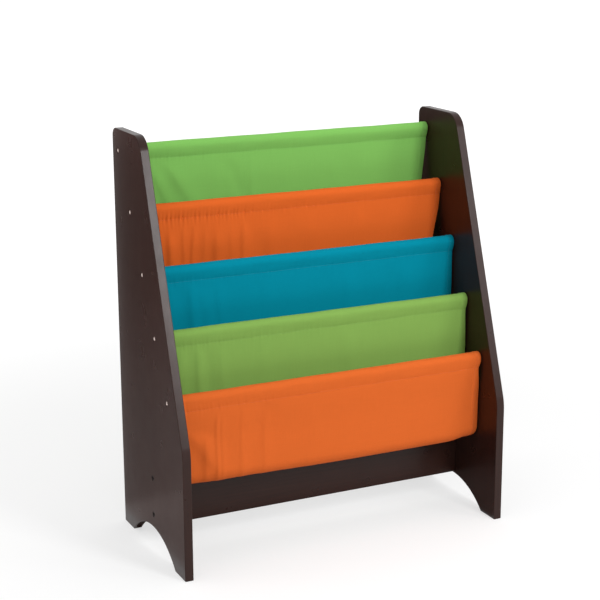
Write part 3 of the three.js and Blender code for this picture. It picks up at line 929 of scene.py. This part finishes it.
    def normal(self, x, along):
        """Outward unit normal of the cloth."""
        across = self.place(x + RAW_STEP, along) - self.place(x - RAW_STEP, along)
        down = self.place(x, along + RAW_STEP) - self.place(x, along - RAW_STEP)
        outward = np.cross(down, across)
        return outward / np.linalg.norm(outward, axis=-1)[..., None]

    def samples_along(self):
        """Places along the strip, closer together at bends and seams."""
        density = 1 / WALL_STEP + CURVE_DENSITY * self.curving
        for seam in self.seams:
            density = density + SEAM_DENSITY * np.exp(-np.abs(self.along - seam) / PUCKER_REACH)
        return spaced(self.along, density)

    def samples_across(self):
        """Places across the strip, closer together at its folds."""
        inner = CLOTH_HALF - HEM_WIDTH - HEM_STEP
        even = np.linspace(-inner, inner, ceil(2 * inner / RAW_STEP))
        density = np.full_like(even, 1 / ACROSS_STEP)
        for share, fold_reach, _, slant, _ in FOLDS[self.index]:
            moved = abs(slant) * POCKET_DROP / 2
            past = even - (share - 0.5) * 2 * CLOTH_HALF - copysign(moved, slant)
            density += FOLD_DENSITY / fold_reach * np.exp(-((past / (2 * fold_reach + moved)) ** 2))
        middle = spaced(even, density)
        hem = np.linspace(inner, CLOTH_HALF - CLOTH_THICKNESS / 2 - HEM_RISE / 2, HEM_STEPS)[1:]
        return np.concatenate([-hem[::-1], middle, hem])

    def mesh(self):
        """The strip as one closed mesh with folded side edges."""
        across = self.samples_across()
        along = self.samples_along()
        x, s = np.meshgrid(across, along)
        middle = self.place(x, s)
        normal = self.normal(x, s)
        outer = middle + normal * (CLOTH_THICKNESS / 2 + hem_rise(x))[..., None]
        inner = middle - normal * CLOTH_THICKNESS / 2
        caps = {}
        for side, column in ((1, -1), (-1, 0)):
            center = (outer[:, column] + inner[:, column]) / 2
            half_out = (outer[:, column] - inner[:, column]) / 2
            radius = np.linalg.norm(half_out, axis=-1)[:, None]
            sideways = radius * (side, 0, 0)
            turns = np.linspace(0, pi, CAP_STEPS + 2)[1:-1]
            cap = [center + half_out * cos(t) + sideways * sin(t) for t in turns]
            caps[side] = np.stack(cap, axis=1)
        ring = np.concatenate([outer, caps[1], inner[:, ::-1], caps[-1][:, ::-1]], axis=1)
        cap_across = np.full(CAP_STEPS, across[-1])
        ring_across = np.concatenate([across, cap_across, across[::-1], -cap_across])
        rows, columns = ring.shape[:2]
        first = np.arange((rows - 1) * columns).reshape(-1, columns)
        second = np.roll(first, -1, axis=1)
        quads = np.stack([first, first + columns, second + columns, second], axis=-1).reshape(-1, 4)
        faces = quads.tolist() + self.end_faces(len(across), columns, rows)
        mesh = new_mesh("cloth", ring.reshape(-1, 3).tolist(), faces)
        layout = mesh.uv_layers.new(name="cloth")
        ring_uv = np.stack([np.tile(ring_across, rows), np.repeat(along, columns)], axis=-1)
        corners = np.empty(len(mesh.loops), dtype=np.int32)
        mesh.loops.foreach_get("vertex_index", corners)
        layout.data.foreach_set("uv", ring_uv[corners].astype(np.float32).ravel())
        shade_smooth(mesh, CLOTH_SHARP_ANGLE)
        return mesh

    def end_faces(self, width, columns, rows):
        """Faces that close the strip's two cut ends."""
        opposite = 2 * width + CAP_STEPS - 1
        end = [[i, i + 1, opposite - i - 1, opposite - i] for i in range(width - 1)]
        end.append([*range(width - 1, width + CAP_STEPS + 1)])
        end.append([*range(opposite, columns), 0])
        last = (rows - 1) * columns
        return end + [[last + i for i in face[::-1]] for face in end]

    def stitch_mesh(self):
        """Every stitch of the sleeve's seam and of the two side hems."""
        stitches = []  # where each starts and ends, across and along
        row_half = CLOTH_HALF - STITCH_PITCH
        places = np.arange(-row_half, row_half - STITCH_LENGTH, STITCH_PITCH)
        for seam, outwards in zip(self.seams, (-1, 1)):
            row = seam + outwards * SEAM_GROOVE_REACH / 2
            stitches += [(at, row, at + STITCH_LENGTH, row) for at in places]
        margin = ALLOWANCE_LENGTH + ALLOWANCE_RADIUS * 2
        places = np.arange(margin, self.length - margin, STITCH_PITCH)
        for hem in (HEM_STITCH_INSET - CLOTH_HALF, CLOTH_HALF - HEM_STITCH_INSET):
            stitches += [(hem, at, hem, at + STITCH_LENGTH) for at in places]
        starts, ends = np.hsplit(np.array(stitches), 2)
        rings = []
        for share, girth, lift in STITCH_RINGS:
            x, s = (starts + (ends - starts) * share).T
            normal = self.normal(x, s)
            surface = self.place(x, s) + normal * (CLOTH_THICKNESS / 2 + hem_rise(x))[:, None]
            rings.append((surface + normal * THREAD_RADIUS * lift, normal, girth))
        run = rings[3][0] - rings[1][0]
        run /= np.linalg.norm(run, axis=1)[:, None]
        verts, faces = [], []
        for i in range(len(stitches)):
            base = len(verts)
            verts.append(rings[0][0][i])
            for center, normal, girth in rings[1:4]:
                beside = np.cross(run[i], normal[i])
                for k in range(STITCH_SIDES):
                    angle = tau * k / STITCH_SIDES
                    turned = normal[i] * cos(angle) + beside * sin(angle)
                    verts.append(center[i] + turned * THREAD_RADIUS * girth)
            verts.append(rings[4][0][i])
            first, second, third, last = (base + 1 + ring * STITCH_SIDES for ring in range(4))
            for k in range(STITCH_SIDES):
                after = (k + 1) % STITCH_SIDES
                faces.append((base, first + after, first + k))
                for near, far in ((first, second), (second, third)):
                    faces.append((near + k, near + after, far + after, far + k))
                faces.append((last, third + k, third + after))
        mesh = new_mesh("stitches", [tuple(vert) for vert in verts], faces)
        shade_smooth(mesh, 180)
        return mesh


def add_cloth_bands():
    for i, (color, slot) in enumerate(zip(BAND_COLORS, BAND_SLOTS)):
        band = ClothBand(i)
        name = f"cloth_band_{i + 1}"
        piece = add_piece(name, band.mesh(), canvas(f"{slot}_canvas", color), slot, f"sling_band_{i + 1}")
        thread = sewing_thread(f"{slot}_thread", shade_of(color, STITCH_SHADE))
        stitches = add_piece(f"{name}_stitching", band.stitch_mesh(), thread, slot)


def add_camera():
    cos_e, sin_e = cos(CAMERA_ELEVATION), sin(CAMERA_ELEVATION)
    back = Vector((sin(CAMERA_AZIMUTH) * cos_e, -cos(CAMERA_AZIMUTH) * cos_e, sin_e))
    level = Vector((cos(CAMERA_AZIMUTH), sin(CAMERA_AZIMUTH), 0))
    upright = back.cross(level)
    right = level * cos(CAMERA_ROLL) + upright * sin(CAMERA_ROLL)
    up = upright * cos(CAMERA_ROLL) - level * sin(CAMERA_ROLL)
    data = bpy.data.cameras.new("photograph")
    data.lens = CAMERA_LENS
    data.sensor_width = CAMERA_SENSOR
    camera = add_object("photograph", data)
    turn = Matrix((right, up, back)).transposed().to_4x4()
    camera.matrix_world = Matrix.Translation(CAMERA_TARGET + back * CAMERA_DISTANCE) @ turn
    bpy.context.scene.camera = camera


def add_softboxes():
    for name, (place, width, height, radiance) in SOFTBOXES.items():
        data = bpy.data.lights.new(name, "AREA")
        data.shape = "RECTANGLE"
        data.size = width
        data.size_y = height
        data.energy = radiance * pi * width * height
        softbox = add_object(name, data)
        softbox.location = place
        softbox.rotation_euler = (SOFTBOX_AIM - place).to_track_quat("-Z", "Y").to_euler()


def light_world():
    """A dim room with a bright ceiling, which looks white where it is seen."""
    world = bpy.data.worlds.new("studio")
    shader = Nodes(world)
    direction = shader.node("TexCoord").outputs["Generated"]
    height = shader.node("SeparateXYZ", {"Vector": direction}).outputs["Z"]
    room = shader.nodes["Background"]
    shader.feed(room.inputs["Color"], WHITE)
    shader.feed(room.inputs["Strength"], shader.faded(height, CEILING_SINES, ROOM_RADIANCES))
    backdrop = shader.node("Background", {"Color": WHITE})
    inputs = (shader.seen_directly(), room.outputs[0], backdrop.outputs[0])
    both = shader.node("MixShader", enumerate(inputs))
    shader.feed(shader.nodes["World Output"].inputs["Surface"], both.outputs[0])
    bpy.context.scene.world = world


def add_floor():
    shader = Shader("studio_floor", roughness=PAPER_ROUGHNESS, Specular_IOR_Level=PAPER_SPECULAR)
    distance = shader.node("VectorMath", {0: shader.place()}, operation="LENGTH").outputs["Value"]
    seen = shader.seen_directly()
    # The grey that the floor throws back fades away from the shelf: a painted pool of light
    thrown_back = shader.faded(distance, FLOOR_REACH, FLOOR_GREYS)
    grey = shader.node("Mix", {0: seen, 2: thrown_back, 3: FLOOR_LOOK}).outputs[0]
    gained = shader.math("MULTIPLY", seen, shader.faded(distance, FLOOR_REACH, FLOOR_LOOK_WHITES))
    white = shader.node("Emission", {"Strength": gained})
    both = shader.node("AddShader", enumerate((shader.principled.outputs[0], white.outputs[0])))
    shader.feed(shader.nodes["Material Output"].inputs["Surface"], both.outputs[0])
    half = FLOOR_HALF
    corners = [(x, y, -FLOOR_DROP) for x, y in ((-half, -half), (half, -half), (half, half), (-half, half))]
    add_stage("studio_floor", corners, [(0, 1, 2, 3)], shader.finish(grey))


def add_stage(name, corners, faces, material):
    mesh = new_mesh(name, corners, faces)
    mesh.materials.append(material)
    stage = add_object(name, mesh)
    return stage


def add_reflection_card(name, sides, profile, low_color, high_color):
    """A card that only reflections show, darker than the bright floor and backdrop it keeps out of a panel's
    sheen: a painted reflection of shade, paler towards the floor.
    """
    shader = Shader(name, roughness=PAPER_ROUGHNESS, Specular_IOR_Level=0)
    height = shader.node("SeparateXYZ", {"Vector": shader.place()}).outputs["Z"]
    material = shader.finish(shader.mix(shader.faded(height, CARD_FADE, (0, 1)), low_color, high_color))
    corners = [(x, y, z) for y, z in profile for x in sides]
    card = add_stage(name, corners, [(0, 1, 3, 2), (2, 3, 5, 4)], material)
    for seen in ("camera", "diffuse", "transmission", "shadow"):
        setattr(card, f"visible_{seen}", False)


add_camera()
add_softboxes()
light_world()
add_floor()
for card_name, card_form in CARDS.items():
    add_reflection_card(card_name, *card_form)

panel_wood = espresso_wood("espresso_panel", PANEL_GRAIN)
add_side_panel("left", -1, panel_wood)
add_side_panel("right", 1, panel_wood)
add_rail(espresso_wood("espresso_rail", RAIL_GRAIN))
add_rods(dowel_wood())
add_screws(screw_steel())
add_cloth_bands()

bpy.context.scene.view_settings.view_transform = "Standard"
